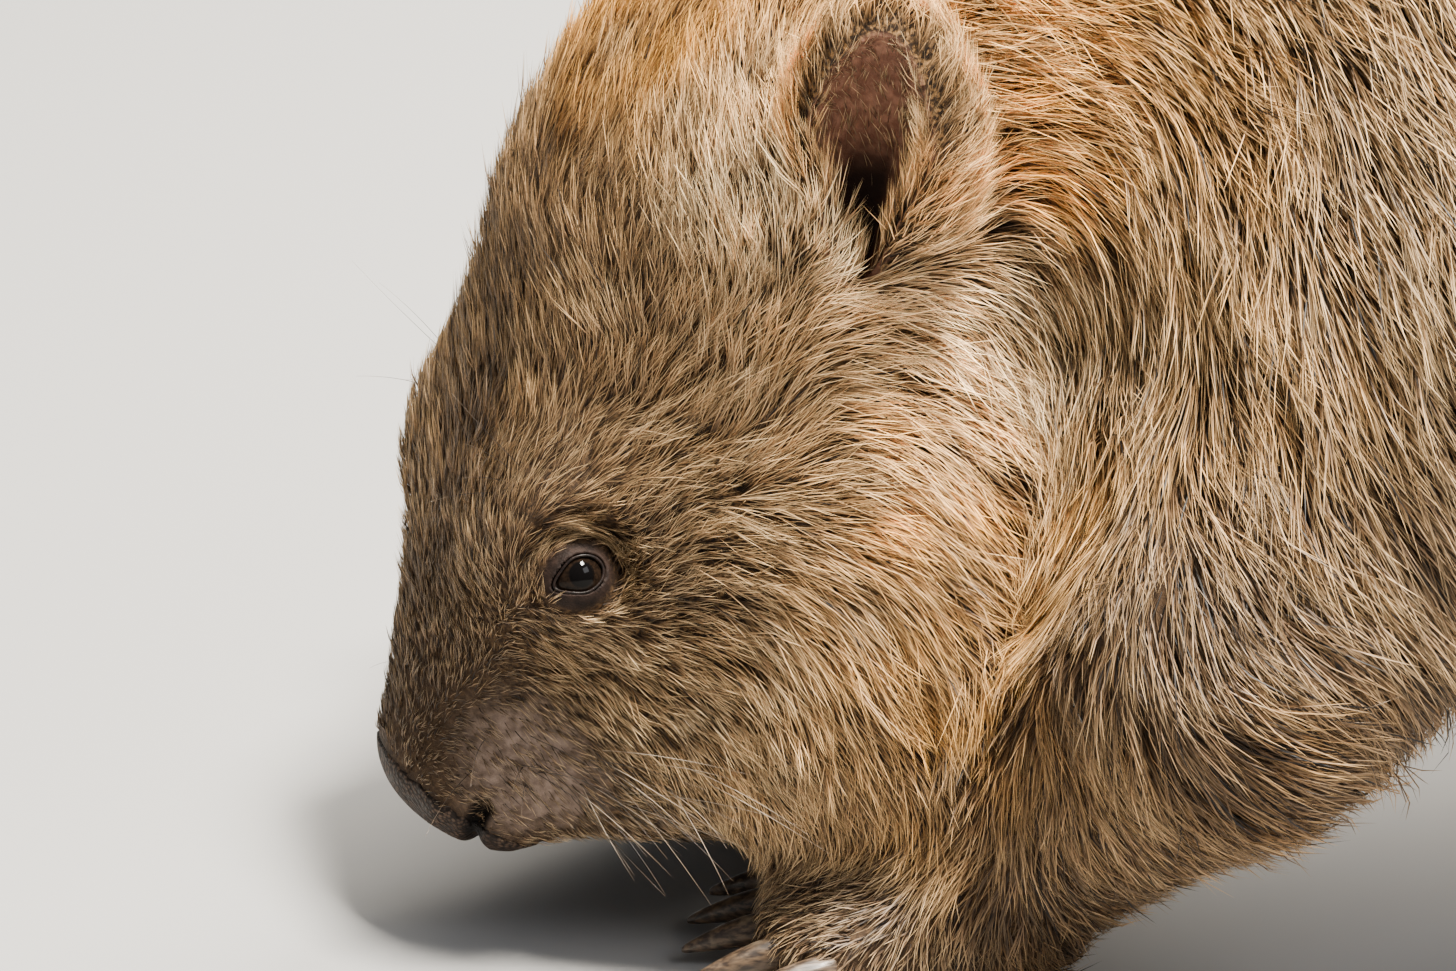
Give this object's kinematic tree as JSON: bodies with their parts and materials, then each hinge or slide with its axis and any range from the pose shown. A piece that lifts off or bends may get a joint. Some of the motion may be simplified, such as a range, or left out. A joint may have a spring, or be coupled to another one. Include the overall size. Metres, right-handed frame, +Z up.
{
  "type": "wombat",
  "caption": "Life-size standing wombat, grazing with its head down, stocky and furred, with small ears and digging claws.",
  "frame": {"origin": "on the floor, under the middle of the animal's box", "axes": "+Z up, the nose points towards -Y, the animal's left side is towards +X"},
  "size_m": [0.324, 0.8776, 0.3525],
  "materials": {
    "coat": "coarse fur, grey-brown at the roots with straw and gold tips, matt with a slight sheen along the hairs",
    "nose_skin": "bare grey-brown granular nose skin, slightly moist",
    "eye": "dark brown wet eye, high gloss",
    "claw": "dark horn, satin, scratched by digging"
  },
  "bodies": {
    "root": {"head": "coat", "jaw": "coat", "neck": "coat", "thorax": "coat", "abdomen": "coat", "rump": "coat", "tail": "coat", "ear_left": "coat", "upper_arm_left": "coat", "forearm_left": "coat", "forepaw_left": "coat", "thigh_left": "coat", "shin_left": "coat", "hindfoot_left": "coat", "ear_right": "coat", "upper_arm_right": "coat", "forearm_right": "coat", "forepaw_right": "coat", "thigh_right": "coat", "shin_right": "coat", "hindfoot_right": "coat", "nose": "nose_skin", "eye_left": "eye", "eye_right": "eye", "fore_claw_left_1": "claw", "fore_claw_left_2": "claw", "fore_claw_left_3": "claw", "fore_claw_left_4": "claw", "fore_claw_left_5": "claw", "hind_claw_left_1": "claw", "hind_claw_left_2": "claw", "hind_claw_left_3": "claw", "hind_claw_left_4": "claw", "fore_claw_right_1": "claw", "fore_claw_right_2": "claw", "fore_claw_right_3": "claw", "fore_claw_right_4": "claw", "fore_claw_right_5": "claw", "hind_claw_right_1": "claw", "hind_claw_right_2": "claw", "hind_claw_right_3": "claw", "hind_claw_right_4": "claw"}
  },
  "joints": []
}
